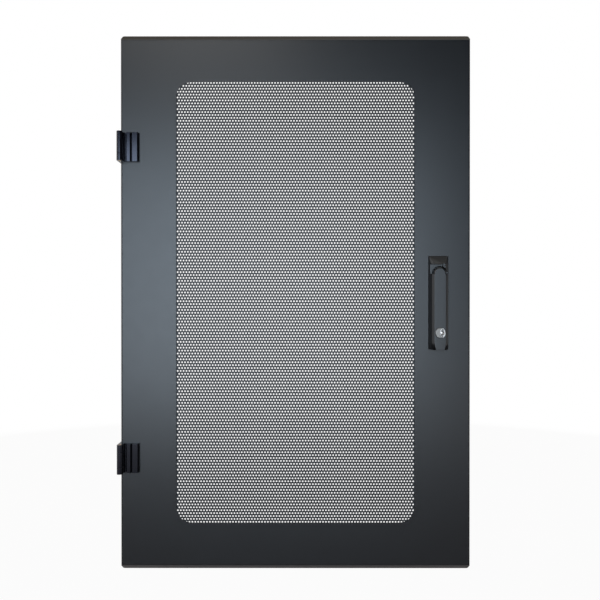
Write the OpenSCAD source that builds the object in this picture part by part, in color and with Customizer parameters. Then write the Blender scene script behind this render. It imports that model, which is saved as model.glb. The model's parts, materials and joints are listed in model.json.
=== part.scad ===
// Perforated rack door with two lift-clear hinges and a lift-and-turn handle.
//
// Frame: +X runs from the hinge side to the lock side, +Z is up and the front of
// the door faces -Y. The origin is the middle of the lower frame leaf's screw
// line, on the face of the leaf that is screwed to the cabinet.
// Every size is in millimetres.

/* [Door] */
// Width of the door
door_w = 600; // [400:10:800]
// Height of the flat front face
face_h = 903; // [700:1:1200]
// Depth of the folded edges
door_depth = 18; // [16:1:30]
// Height that each sloping edge adds above and below the front face
edge_rise = 12; // [8:1:20]
// Thickness of the door steel
sheet_t = 1.5; // [1:0.1:2]
// Outer radius of the folds
bend_r = 3; // [2:0.5:4]
// Width of the lips folded in along the rear
lip_w = 14; // [10:1:18]

/* [Perforated field] */
// Width of the window
window_w = 410; // [300:5:420]
// Height of the window
window_h = 757; // [500:1:760]
// Corner radius of the window
window_r = 27; // [10:1:40]
// Distance between holes in a row, and between rows
hole_pitch = 5; // [4:0.5:8]
// Diameter of one hole
hole_d = 3; // [2:0.1:3.8]
// How many pitches one drawn hole stands for; 1 draws the true field
draw_every = 4; // [1:1:6]
// Thickness of the perforated sheet
mesh_t = 1; // [0.8:0.1:1.2]
// Overlap of the perforated sheet behind the window's edge
mesh_lap = 12; // [8:1:14]

/* [Hinges] */
// Distance between the two hinges, centre to centre
hinge_spacing = 532; // [400:2:700]
// Height of one hinge
hinge_h = 50; // [44:1:60]
// Radius of the knuckles
knuckle_r = 5.1; // [4.6:0.1:6]
// Distance from the door's face out to the pin
pin_out = 15; // [14.6:0.1:18]
// Radius of the hinge pin
pin_r = 3; // [2.5:0.1:3.5]
// Thickness of the frame leaf
frame_leaf_t = 2.8; // [2.5:0.1:3.2]
// Width of the leaf on the door's face
door_leaf_w = 32.5; // [31:0.5:40]
// Thickness of the leaf on the door's face
door_leaf_t = 8.5; // [7.5:0.1:9]

/* [Handle] */
// Distance from the door's centre line to the handle's
handle_x = 245; // [240:1:255]
// Length of the handle
handle_len = 160; // [150:1:180]
// Width of the handle at its foot
handle_w = 34.8; // [32:0.2:40]
// Height of the closed lever above the door's face
handle_h = 20; // [19:0.5:24]
// Height of the housing under the lever
base_h = 9; // [8:0.5:9]

/* [Latch and lock] */
// Reach of the latch cam from the spindle
cam_reach = 45; // [35:1:50]
// Thickness of the latch cam
cam_t = 3; // [2:0.5:4]
// Diameter of the lock's bezel
lock_d = 18; // [16:1:20]

/* [Hidden] */
$fn = 64;
eps = 0.01;

// Gap between parts that move past each other
clear = 0.3;
// Radial clearance of a running fit and of a fixed pin or screw
run_fit = 0.05;
fixed_fit = 0.02;

// Door placement: the front face lies far enough forward for the frame leaf's
// screws to sit behind the door's rear lips.
screw_set_back = 22;
front_y = -(door_depth + screw_set_back);
door_cx = clear + door_w / 2;
door_cz = hinge_spacing / 2;
edge_slope = edge_rise / door_depth;
door_h = face_h + 2 * edge_rise;

// Stiffener hats behind the stiles
hat_w = 24;
hat_flange = 8;
hat_depth = 12;
hat_t = 1.2;
hat_x = door_w / 2 - 58;
hat_len = face_h - 30;
handle_bay = 210;

// Perforation
drawn_pitch = hole_pitch * draw_every;
drawn_d = hole_d * draw_every;
hole_cols = floor(window_w / drawn_pitch);
hole_rows = ceil(window_h / drawn_pitch);

// Hinges, measured from the frame leaf's cabinet face and the door's front face
pin_x = knuckle_r - frame_leaf_t;
knuckle_gap = clear;
end_knuckle_h = 12;
mid_knuckle_h = hinge_h - 2 * end_knuckle_h - 2 * knuckle_gap;
frame_screw_pitch = 30;
frame_screw_r = 2.75;
frame_leaf_tail = 12;
leaf_corner_r = 5;
door_screw_pitch = 32;
door_screw_x = 25;
door_screw_r = 3;
clamp_t = 3;

// Handle: heights are measured out from the door's face
gasket_t = 0.8;
side_draft = 3.5 / 16;
shoulder_h = handle_h - 4;
shoulder_run = 4.1;
flat_w = 2 * (foot_half(shoulder_h) - shoulder_run);
pivot_z = handle_len / 2 - 30;
lever_pin_h = 12.8;
lever_pin_r = 2;
lever_bottom = base_h + clear;
head_r = 10.6;
head_bevel = 2.2;
dish_r = 12;
dish_floor_h = 2.8;
corner_len = 12;
nose_z = pivot_z + foot_half(lever_bottom) + 0.5;
nose_crest_h = handle_h - 2;
nose_crest_half = flat_w / 2 - 1;
nose_bevel_h = 12;
nose_toe_h = 2.2;
shoulder_z = pivot_z + 3;
shoulder_x = 5;
spindle_r = 7;
spindle_top_h = 3.2;
tongue_w = 8;
tongue_r = 4.5;
bush_r = 8.5;
body_w = 24.6;
body_depth = 12;
body_low_z = -62;
body_high_z = 66;
clamp_w = 34;
clamp_low_z = -32;
clamp_high_z = 62;
clamp_plate_t = 2;
handle_screw_z = [-22, 26];
handle_screw_r = 2.5;
cam_y = door_depth + 2;
cam_hub_r = 11;
cam_w = 16;
square_w = 8;

// Lock
lock_z = -51;
plug_x = 3;
plug_r = 3.55;
barrel_r = 7.5;
bezel_h = 1.6;
rim_w = 9.6;
rim_h = 15.6;
rim_t = 1.3;
rim_rise = 1;

// Half width of the handle at height h on its drafted sides.
function foot_half(h) = handle_w / 2 - side_draft * h;

// Height of the sloping edge's surface, set in by i, at depth y.
function edge_z(y, i) = face_h / 2 + edge_slope * y - i * sqrt(1 + edge_slope * edge_slope);

// ---- Placing and extruding helpers ----

module on_door() {
    translate([door_cx, front_y, door_cz]) children();
}

module at_handle() {
    on_door() translate([handle_x, 0, 0]) children();
}

module at_hinge(upper) {
    translate([0, 0, upper ? hinge_spacing : 0]) children();
}

// Extrudes an X-Z outline from depth y0 to depth y1.
module plate_xz(y0, y1) {
    translate([0, y1, 0]) rotate([90, 0, 0]) linear_extrude(height = y1 - y0) children();
}

// Extrudes a Y-Z outline along X, centred.
module bar_x(length) {
    rotate([90, 0, 90]) linear_extrude(height = length, center = true) children();
}

// Extrudes an X-Y outline along Z, from z0 to z1.
module bar_z(z0, z1) {
    translate([0, 0, z0]) linear_extrude(height = z1 - z0) children();
}

module rod_y(r, y0, y1) {
    translate([0, y0, 0]) rotate([-90, 0, 0]) cylinder(r = r, h = y1 - y0);
}

module rod_x(r, length) {
    rotate([0, 90, 0]) cylinder(r = r, h = length, center = true);
}

module rounded_rect(w, h, r) {
    square([w - 2 * r, h], center = true);
    square([w, h - 2 * r], center = true);
    for (x = [-1, 1], z = [-1, 1]) {
        translate([x * (w / 2 - r), z * (h / 2 - r)]) circle(r = r);
    }
}

// A screw along +Y with its head's underside at y = 0 and its shank towards -Y.
module socket_screw(shank_r, shank_len, cap_r, cap_h) {
    socket_r = cap_r / 2;
    socket_depth = 2;
    difference() {
        union() {
            rod_y(shank_r, -shank_len, eps);
            rod_y(cap_r, 0, cap_h);
        }
        translate([0, cap_h, 0]) rotate([90, 0, 0]) cylinder(r = socket_r, h = socket_depth, $fn = 6);
    }
}

// ---- Folded door frame ----

// Plan of the folded pan, set in by i from its outer faces.
module pan_plan(i) {
    translate([0, door_depth / 2])
        rounded_rect(door_w - 2 * i, door_depth - 2 * i, bend_r - i);
}

// What the upper front fold removes from the sharp corner of the side view.
module fold_waste(i) {
    r = bend_r - i;
    slope_deg = atan(edge_slope);
    corner_z = edge_z(i, i);
    tangent = r * tan((90 - slope_deg) / 2);
    slope_z = corner_z + tangent * sin(slope_deg);
    difference() {
        polygon([
            [i - 1, corner_z - tangent],
            [i + r, corner_z - tangent],
            [i + tangent * cos(slope_deg), slope_z],
            [i - 1, slope_z]
        ]);
        translate([i + r, corner_z - tangent]) circle(r = r);
    }
}

// Side view of the folded pan with its sloping top and bottom edges, set in by i.
module pan_profile(i) {
    front_z = edge_z(i, i);
    back_z = edge_z(door_depth - i, i);
    difference() {
        polygon([[i, -front_z], [i, front_z], [door_depth - i, back_z], [door_depth - i, -back_z]]);
        fold_waste(i);
        mirror([0, 1]) fold_waste(i);
    }
}

module pan_solid(i) {
    intersection() {
        bar_z(-door_h / 2, door_h / 2) pan_plan(i);
        bar_x(door_w) pan_profile(i);
    }
}

module handle_cutout() {
    translate([handle_x, (body_low_z + body_high_z) / 2])
        rounded_rect(body_w + 2 * clear, body_high_z - body_low_z + 2 * clear, 3);
}

module door_frame() {
    color([0.12, 0.13, 0.15]) on_door() difference() {
        pan_solid(0);
        pan_solid(sheet_t);
        plate_xz(door_depth - sheet_t - 1, door_depth + 1)
            square([door_w - 2 * lip_w, door_h - 2 * lip_w], center = true);
        plate_xz(-1, sheet_t + 1) {
            rounded_rect(window_w, window_h, window_r);
            handle_cutout();
        }
        for (side = [-1, 1], z = [-1, 1]) {
            translate([door_screw_x - door_cx, 0, side * door_cz + z * door_screw_pitch / 2])
                rod_y(door_screw_r + clear, -1, sheet_t + 1);
        }
    }
}

// ---- Perforated sheet: staggered rows, each half a pitch off the one below ----

module hole_row(count) {
    for (i = [0 : count - 1]) {
        translate([(i - (count - 1) / 2) * drawn_pitch, 0]) circle(d = drawn_d);
    }
}

module perforated_sheet() {
    color([0.16, 0.17, 0.18]) on_door()
        plate_xz(sheet_t, sheet_t + mesh_t)
            difference() {
                square([window_w + 2 * mesh_lap, window_h + 2 * mesh_lap], center = true);
                for (row = [0 : hole_rows - 1]) {
                    translate([0, (row - (hole_rows - 1) / 2) * drawn_pitch])
                        hole_row(hole_cols - row % 2);
                }
            }
}

// ---- Stiffeners: hat sections spot-welded behind the stiles ----

module hat_plan() {
    translate([0, sheet_t]) difference() {
        union() {
            translate([-hat_w / 2 - hat_flange, 0]) square([hat_w + 2 * hat_flange, hat_t]);
            translate([-hat_w / 2, 0]) square([hat_w, hat_depth]);
        }
        translate([-hat_w / 2 + hat_t, -1]) square([hat_w - 2 * hat_t, hat_depth - hat_t + 1]);
    }
}

module stiffener(x, z0, z1) {
    color([0.13, 0.14, 0.15]) on_door() translate([x, 0, 0]) bar_z(z0, z1) hat_plan();
}

module hinge_side_stiffener() {
    stiffener(-hat_x, -hat_len / 2, hat_len / 2);
}

module upper_lock_side_stiffener() {
    stiffener(hat_x, handle_bay / 2, hat_len / 2);
}

module lower_lock_side_stiffener() {
    stiffener(hat_x, -hat_len / 2, -handle_bay / 2);
}

// ---- Hinges ----

// The cabinet's leaf: two end knuckles and a side plate running back past the door.
module frame_leaf(upper) {
    pin_y = front_y - pin_out;
    plate_back = frame_leaf_tail;
    color([0.14, 0.15, 0.17]) at_hinge(upper) difference() {
        union() {
            bar_z(-hinge_h / 2, hinge_h / 2) {
                translate([pin_x, pin_y]) circle(r = knuckle_r);
                translate([-frame_leaf_t, pin_y]) square([frame_leaf_t, plate_back - pin_y - leaf_corner_r]);
            }
            bar_z(-hinge_h / 2 + leaf_corner_r, hinge_h / 2 - leaf_corner_r)
                translate([-frame_leaf_t, 0]) square([frame_leaf_t, plate_back]);
            for (z = [-1, 1]) {
                translate([-frame_leaf_t / 2, plate_back - leaf_corner_r, z * (hinge_h / 2 - leaf_corner_r)])
                    rod_x(leaf_corner_r, frame_leaf_t);
            }
        }
        translate([-knuckle_r, pin_y - 2 * knuckle_r, -mid_knuckle_h / 2 - knuckle_gap])
            cube([4 * knuckle_r, 3 * knuckle_r + 2 * clear, mid_knuckle_h + 2 * knuckle_gap]);
        translate([pin_x, pin_y, -hinge_h]) cylinder(r = pin_r + fixed_fit, h = 2 * hinge_h);
        for (z = [-1, 1]) {
            translate([0, 0, z * frame_screw_pitch / 2]) rod_x(frame_screw_r, 4 * frame_leaf_t);
        }
    }
}

module hinge_pin(upper) {
    chamfer = 0.8;
    color("silver") at_hinge(upper) translate([pin_x, front_y - pin_out, 0])
        rotate_extrude() polygon([
            [0, -hinge_h / 2],
            [pin_r - chamfer, -hinge_h / 2],
            [pin_r, -hinge_h / 2 + chamfer],
            [pin_r, hinge_h / 2 - chamfer],
            [pin_r - chamfer, hinge_h / 2],
            [0, hinge_h / 2]
        ]);
}

// Plan of the ribbed cast leaf, x from the door's edge and y out from its face.
module door_leaf_plan() {
    t = door_leaf_t;
    w = door_leaf_w;
    rib_foot = t - 4.5;
    groove_foot = t - 3;
    polygon([
        [0, 0], [w, 0],
        [w, -3.5], [w - 3.7, -t],
        [w - 12.3, -t], [w - 13, -groove_foot],
        [w - 14.9, -groove_foot], [w - 15.6, -t],
        [w - 20.8, -t], [w - 22.3, -rib_foot],
        [w - 24.2, -rib_foot], [w - 25.4, -t],
        [0, -t]
    ]);
}

module door_leaf(upper) {
    color([0.18, 0.19, 0.22]) at_hinge(upper) difference() {
        union() {
            bar_z(-hinge_h / 2, hinge_h / 2) translate([clear, front_y]) door_leaf_plan();
            bar_z(-mid_knuckle_h / 2, mid_knuckle_h / 2) {
                translate([pin_x, front_y - pin_out]) circle(r = knuckle_r);
                translate([clear, front_y - pin_out]) square([pin_x + knuckle_r - clear, pin_out - door_leaf_t + 1]);
            }
        }
        translate([pin_x, front_y - pin_out, -hinge_h]) cylinder(r = pin_r + run_fit, h = 2 * hinge_h);
        for (z = [-1, 1]) {
            translate([door_screw_x, front_y, z * door_screw_pitch / 2]) rod_y(door_screw_r, -6, 1);
        }
    }
}

module hinge_clamp(upper) {
    plate_w = 22;
    plate_h = hinge_h - 4;
    color("dimgray") at_hinge(upper) translate([door_screw_x, front_y, 0])
        plate_xz(sheet_t, sheet_t + clamp_t)
            difference() {
                rounded_rect(plate_w, plate_h, 3);
                for (z = [-1, 1]) {
                    translate([0, z * door_screw_pitch / 2]) circle(r = door_screw_r + clear);
                }
            }
}

module hinge_screws() {
    back_y = sheet_t + clamp_t;
    color("silver") for (upper = [true, false], z = [-1, 1]) {
        at_hinge(upper)
            translate([door_screw_x, front_y + back_y, z * door_screw_pitch / 2])
                socket_screw(door_screw_r - run_fit, back_y + 5, 5, 3.2);
    }
}

module upper_frame_leaf() {
    frame_leaf(true);
}

module lower_frame_leaf() {
    frame_leaf(false);
}

module upper_hinge_pin() {
    hinge_pin(true);
}

module lower_hinge_pin() {
    hinge_pin(false);
}

module upper_door_leaf() {
    door_leaf(true);
}

module lower_door_leaf() {
    door_leaf(false);
}

module upper_hinge_clamp() {
    hinge_clamp(true);
}

module lower_hinge_clamp() {
    hinge_clamp(false);
}

// ---- Handle housing ----

// Drafted cross-section of the low base under the lever, its top narrowed by cut on each side.
module base_plan(cut) {
    top_half = foot_half(base_h) - cut;
    polygon([
        [-foot_half(gasket_t), -gasket_t], [foot_half(gasket_t), -gasket_t],
        [top_half, -base_h], [-top_half, -base_h]
    ]);
}

// Cross-section of the nose at its crest.
module nose_crest_plan() {
    polygon([
        [-foot_half(gasket_t), -gasket_t], [foot_half(gasket_t), -gasket_t],
        [foot_half(nose_bevel_h), -nose_bevel_h], [nose_crest_half, -nose_crest_h],
        [-nose_crest_half, -nose_crest_h], [-foot_half(nose_bevel_h), -nose_bevel_h]
    ]);
}

// Cross-section of the nose at the housing's top end.
module nose_toe_plan() {
    polygon([
        [-foot_half(gasket_t), -gasket_t], [foot_half(gasket_t), -gasket_t],
        [foot_half(nose_toe_h), -nose_toe_h], [-foot_half(nose_toe_h), -nose_toe_h]
    ]);
}

// The nose slopes from its crest to the top end, with a facet that widens towards the crest on each side.
// On the side that the lever turns away from, the crest runs on down as a shoulder beside the lever's head,
// clear of the lever's upper end when that is lifted and turned.
module handle_nose() {
    top_z = handle_len / 2;
    hull() {
        bar_z(nose_z, nose_z + eps) nose_crest_plan();
        bar_z(top_z - eps, top_z) nose_toe_plan();
    }
    intersection() {
        bar_z(shoulder_z, nose_z + eps) nose_crest_plan();
        translate([shoulder_x, -handle_h, 0]) cube([handle_w, handle_h - gasket_t, handle_len]);
    }
}

// The low base under the lever, with both corners of its bottom end cut back to facets.
module handle_base() {
    end_z = -handle_len / 2;
    bar_z(end_z + corner_len, nose_z + eps) base_plan(0);
    hull() {
        bar_z(end_z, end_z + eps) base_plan(4.5);
        bar_z(end_z + corner_len, end_z + corner_len + eps) base_plan(0);
    }
}

module handle_housing() {
    color([0.13, 0.13, 0.14]) at_handle() difference() {
        union() {
            handle_base();
            handle_nose();
            plate_xz(-gasket_t - eps, body_depth)
                translate([0, (body_low_z + body_high_z) / 2])
                    rounded_rect(body_w, body_high_z - body_low_z, 2.5);
        }
        translate([0, 0, pivot_z]) rod_y(dish_r, -handle_h, -dish_floor_h);
        translate([0, 0, pivot_z]) rod_y(bush_r, -dish_floor_h - 1, body_depth + 1);
        for (z = handle_screw_z) {
            translate([0, 0, z]) rod_y(handle_screw_r, body_depth - 9, body_depth + 1);
        }
    }
}

module handle_gasket() {
    border = 2.5;
    color([0.05, 0.05, 0.05]) at_handle() plate_xz(-gasket_t, 0) difference() {
        rounded_rect(handle_w - 0.6, handle_len - 0.6, border);
        translate([0, (body_low_z + body_high_z) / 2])
            rounded_rect(body_w + clear, body_high_z - body_low_z + clear, border);
    }
}

// Folded clamp whose two legs bear on the back of the door sheet.
module handle_clamp() {
    color("dimgray") at_handle() difference() {
        bar_z(clamp_low_z, clamp_high_z) difference() {
            translate([-clamp_w / 2, sheet_t]) square([clamp_w, body_depth - sheet_t + clamp_plate_t]);
            translate([-clamp_w / 2 + clamp_plate_t, sheet_t - 1])
                square([clamp_w - 2 * clamp_plate_t, body_depth - sheet_t + 1]);
        }
        translate([0, 0, pivot_z]) rod_y(bush_r + 1, body_depth - 1, body_depth + clamp_plate_t + 1);
        for (z = handle_screw_z) {
            translate([0, 0, z]) rod_y(handle_screw_r + clear, body_depth - 1, body_depth + clamp_plate_t + 1);
        }
    }
}

module handle_screws() {
    color("silver") at_handle() for (z = handle_screw_z) {
        translate([0, body_depth + clamp_plate_t, z])
            socket_screw(handle_screw_r - run_fit, 9, 4.5, 3);
    }
}

module spindle_bush() {
    flange_t = 1;
    color([0.2, 0.2, 0.2]) at_handle() translate([0, 0, pivot_z]) difference() {
        union() {
            rod_y(bush_r - fixed_fit, -dish_floor_h, body_depth + clamp_plate_t);
            rod_y(bush_r + 2, body_depth + clamp_plate_t, body_depth + clamp_plate_t + flange_t);
        }
        rod_y(spindle_r + run_fit, -dish_floor_h - 1, door_depth);
    }
}

// ---- Spindle and latch ----

module handle_spindle() {
    color("silver") at_handle() translate([0, 0, pivot_z]) difference() {
        union() {
            rod_y(spindle_r, -spindle_top_h, cam_y);
            plate_xz(cam_y - eps, cam_y + cam_t) square([square_w, square_w], center = true);
            translate([-tongue_w / 2, -lever_pin_h, -tongue_r])
                cube([tongue_w, lever_pin_h - spindle_top_h + eps, 2 * tongue_r]);
            translate([0, -lever_pin_h, 0]) rod_x(tongue_r, tongue_w);
        }
        translate([0, -lever_pin_h, 0]) rod_x(lever_pin_r + run_fit, 2 * tongue_w);
        rod_y(handle_screw_r, cam_y - 8, cam_y + cam_t + 1);
    }
}

module latch_cam() {
    color("lightgray") at_handle() translate([0, 0, pivot_z])
        plate_xz(cam_y, cam_y + cam_t) difference() {
            union() {
                circle(r = cam_hub_r);
                translate([0, -cam_w / 2]) square([cam_reach - cam_w / 2, cam_w]);
                translate([cam_reach - cam_w / 2, 0]) circle(r = cam_w / 2);
            }
            square([square_w + run_fit, square_w + run_fit], center = true);
        }
}

module cam_washer() {
    color("silver") at_handle() translate([0, 0, pivot_z])
        plate_xz(cam_y + cam_t, cam_y + cam_t + 1.2) difference() {
            circle(r = 7);
            circle(r = handle_screw_r + clear);
        }
}

module cam_screw() {
    color("silver") at_handle() translate([0, cam_y + cam_t + 1.2, pivot_z])
        socket_screw(handle_screw_r - run_fit, 10, 4.5, 3);
}

// ---- Lever ----

// Cross-section of the lever: drafted sides, bevelled shoulders, flat front.
module lever_plan() {
    polygon([
        [-foot_half(lever_bottom), -lever_bottom], [foot_half(lever_bottom), -lever_bottom],
        [foot_half(shoulder_h), -shoulder_h], [flat_w / 2, -handle_h],
        [-flat_w / 2, -handle_h], [-foot_half(shoulder_h), -shoulder_h]
    ]);
}

// Cross-section of the lever at its free end, without shoulders.
module lever_end_plan() {
    end_half = flat_w / 2 - 2.3;
    polygon([
        [-foot_half(lever_bottom), -lever_bottom], [foot_half(lever_bottom), -lever_bottom],
        [end_half, -handle_h], [-end_half, -handle_h]
    ]);
}

// Grip of the lever, with a facet at each corner of its free end.
module lever_grip() {
    end_z = -handle_len / 2;
    bar_z(end_z + corner_len, pivot_z - 1) lever_plan();
    hull() {
        bar_z(end_z, end_z + eps) lever_end_plan();
        bar_z(end_z + corner_len, end_z + corner_len + eps) lever_plan();
    }
}

// Round head of the lever about the spindle's axis, bevelled at its front edge.
module lever_head() {
    translate([0, 0, pivot_z]) rotate([90, 0, 0]) rotate_extrude() polygon([
        [0, lever_bottom], [head_r, lever_bottom], [head_r, handle_h - head_bevel],
        [head_r - head_bevel, handle_h], [0, handle_h]
    ]);
}

module handle_lever() {
    grip_pocket_d = 5;
    grip_pocket_w = 18;
    color([0.15, 0.16, 0.18]) at_handle() difference() {
        union() {
            lever_grip();
            lever_head();
        }
        translate([-tongue_w / 2 - clear, -lever_pin_h - tongue_r - clear, pivot_z - tongue_r - 0.5])
            cube([tongue_w + 2 * clear, lever_pin_h, 2 * tongue_r + 4.3]);
        translate([0, -lever_pin_h, pivot_z]) rod_x(lever_pin_r + fixed_fit, 2 * handle_w);
        translate([0, 0, lock_z]) rod_y(barrel_r + fixed_fit, -handle_h - 1, -lever_bottom + 1);
        translate([-grip_pocket_w / 2, -lever_bottom - grip_pocket_d, lock_z + 14])
            cube([grip_pocket_w, grip_pocket_d + 1, pivot_z - lock_z - 34]);
    }
}

module lever_pin() {
    color("silver") at_handle() translate([0, -lever_pin_h, pivot_z])
        rod_x(lever_pin_r, 2 * (head_r - 1.2));
}

// ---- Lock ----

// Oval outline of the lock's raised rim: the overlap of two arcs, squared off at its ends.
module rim_outline(inset) {
    w = rim_w - 2 * inset;
    h = rim_h - 2 * inset;
    arc_r = (rim_w * rim_w + 1.25 * rim_h * rim_h) / (4 * rim_w) - inset;
    intersection() {
        translate([arc_r - w / 2, 0]) circle(r = arc_r);
        translate([w / 2 - arc_r, 0]) circle(r = arc_r);
        square([w, h], center = true);
    }
}

module lock_cylinder() {
    rim_x = lock_d / 2 - rim_w / 2 - 0.7;
    recess = 1.2;
    color("gainsboro") at_handle() translate([0, 0, lock_z]) difference() {
        union() {
            rod_y(barrel_r, -handle_h, -lever_bottom - 2.3);
            translate([0, -handle_h, 0]) rotate([90, 0, 0])
                cylinder(r1 = lock_d / 2, r2 = lock_d / 2 - 0.6, h = bezel_h);
            plate_xz(-handle_h - bezel_h - rim_rise, -handle_h)
                translate([rim_x, 0]) rim_outline(0);
        }
        plate_xz(-handle_h - bezel_h - rim_rise - 1, -handle_h - bezel_h + recess)
            translate([rim_x, 0]) rim_outline(rim_t);
        translate([plug_x, 0, 0]) rod_y(plug_r + run_fit, -2 * handle_h, 0);
    }
}

module lock_plug() {
    slot_w = 1.2;
    slot_h = 5;
    color("silver") at_handle() translate([plug_x, 0, lock_z]) difference() {
        union() {
            rod_y(plug_r, -handle_h - bezel_h, -lever_bottom - 2);
            plate_xz(-lever_bottom - 2 - eps, -lever_bottom - 0.5) square([3, 3], center = true);
        }
        translate([-slot_w / 2, -handle_h - bezel_h - 1, -slot_h / 2]) cube([slot_w, 7, slot_h]);
    }
}

module lock_tail() {
    color("lightgray") at_handle() translate([plug_x, 0, lock_z])
        plate_xz(-lever_bottom - 1.8, -lever_bottom - 0.5) difference() {
            union() {
                circle(r = 3);
                translate([-2, -5.6]) square([4, 5.6]);
            }
            square([3 + run_fit, 3 + run_fit], center = true);
        }
}

// ---- Small parts behind the door ----

earth_x = -door_w / 2 + 20;
earth_z = -face_h / 2 + 40;
stud_r = 3;

module earth_stud() {
    color("silver") on_door() translate([earth_x, 0, earth_z]) {
        rod_y(stud_r + 2, sheet_t, sheet_t + 1);
        rod_y(stud_r, sheet_t, sheet_t + 14);
    }
}

module earth_nut() {
    color("silver") on_door() translate([earth_x, 0, earth_z]) difference() {
        union() {
            rod_y(6, sheet_t + 1, sheet_t + 2.4);
            translate([0, sheet_t + 2.4, 0]) rotate([-90, 0, 0]) cylinder(r = 5.8, h = 5, $fn = 6);
        }
        rod_y(stud_r + fixed_fit, 0, door_depth);
    }
}

module rubber_buffers() {
    buffer_r = 5;
    color([0.04, 0.04, 0.04]) on_door() for (x = [-1, 1], z = [-1, 1]) {
        translate([x * (door_w / 2 - lip_w / 2), 0, z * (face_h / 2 - 60)])
            rotate([-90, 0, 0]) translate([0, 0, door_depth])
                cylinder(r1 = buffer_r, r2 = buffer_r - 1, h = 3);
    }
}

door_frame();
perforated_sheet();
hinge_side_stiffener();
upper_lock_side_stiffener();
lower_lock_side_stiffener();
upper_frame_leaf();
lower_frame_leaf();
upper_hinge_pin();
lower_hinge_pin();
upper_door_leaf();
lower_door_leaf();
upper_hinge_clamp();
lower_hinge_clamp();
hinge_screws();
handle_housing();
handle_gasket();
handle_clamp();
handle_screws();
spindle_bush();
handle_spindle();
latch_cam();
cam_washer();
cam_screw();
handle_lever();
lever_pin();
lock_cylinder();
lock_plug();
lock_tail();
earth_stud();
earth_nut();
rubber_buffers();
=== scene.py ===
"""Dresses the perforated rack door: true perforation, coated castings, chrome lock, and a plain studio."""

import json
import logging
import math
from dataclasses import dataclass, field
from enum import Enum
from typing import ClassVar

import bmesh
import bpy
import numpy as np
from mathutils import Euler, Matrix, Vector


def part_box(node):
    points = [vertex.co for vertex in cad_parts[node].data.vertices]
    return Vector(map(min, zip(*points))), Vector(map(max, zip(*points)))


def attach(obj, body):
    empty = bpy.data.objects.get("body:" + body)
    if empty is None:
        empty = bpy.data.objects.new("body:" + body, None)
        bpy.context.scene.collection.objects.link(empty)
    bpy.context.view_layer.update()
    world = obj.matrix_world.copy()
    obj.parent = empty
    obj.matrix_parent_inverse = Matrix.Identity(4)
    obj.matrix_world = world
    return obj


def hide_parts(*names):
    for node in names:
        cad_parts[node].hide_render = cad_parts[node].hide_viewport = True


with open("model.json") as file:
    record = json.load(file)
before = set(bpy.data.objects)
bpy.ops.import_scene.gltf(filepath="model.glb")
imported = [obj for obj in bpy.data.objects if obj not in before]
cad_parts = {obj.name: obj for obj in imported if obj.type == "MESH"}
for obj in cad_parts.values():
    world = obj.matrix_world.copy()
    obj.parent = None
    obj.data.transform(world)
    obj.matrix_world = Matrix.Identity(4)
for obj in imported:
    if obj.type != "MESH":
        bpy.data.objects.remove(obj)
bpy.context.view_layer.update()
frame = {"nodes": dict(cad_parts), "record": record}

log = logging.getLogger("rack_door")

MM = 0.001
FULL_TURN = 2 * math.pi

# Edges that turn more than this are sharp: the first on pieces made here, the second on copied CAD nodes.
CREASE_ANGLE = math.radians(32)
SHARP_ANGLE = math.radians(28)

# In a copied CAD node, faces that turn less than this become one, points nearer than the first distance
# become one, and edges shorter than the second collapse.
FLAT_ANGLE = math.radians(0.5)
MERGE = 0.002 * MM
SLIVER = 0.03 * MM

# How strongly a piece's normals follow its larger faces, from 1 to 100.
FLAT_WEIGHT = 80

# The least cosine or sine that a length is divided by.
LEAST = 1e-6

Pair = tuple[float, float]
Triple = tuple[float, float, float]
Colour = Triple

# Full white, which also means no tint, and the same scale along every axis.
WHITE: Colour = (1.0, 1.0, 1.0)
EVEN: Triple = (1.0, 1.0, 1.0)


# ---------------------------------------------------------------- node helpers


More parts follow.
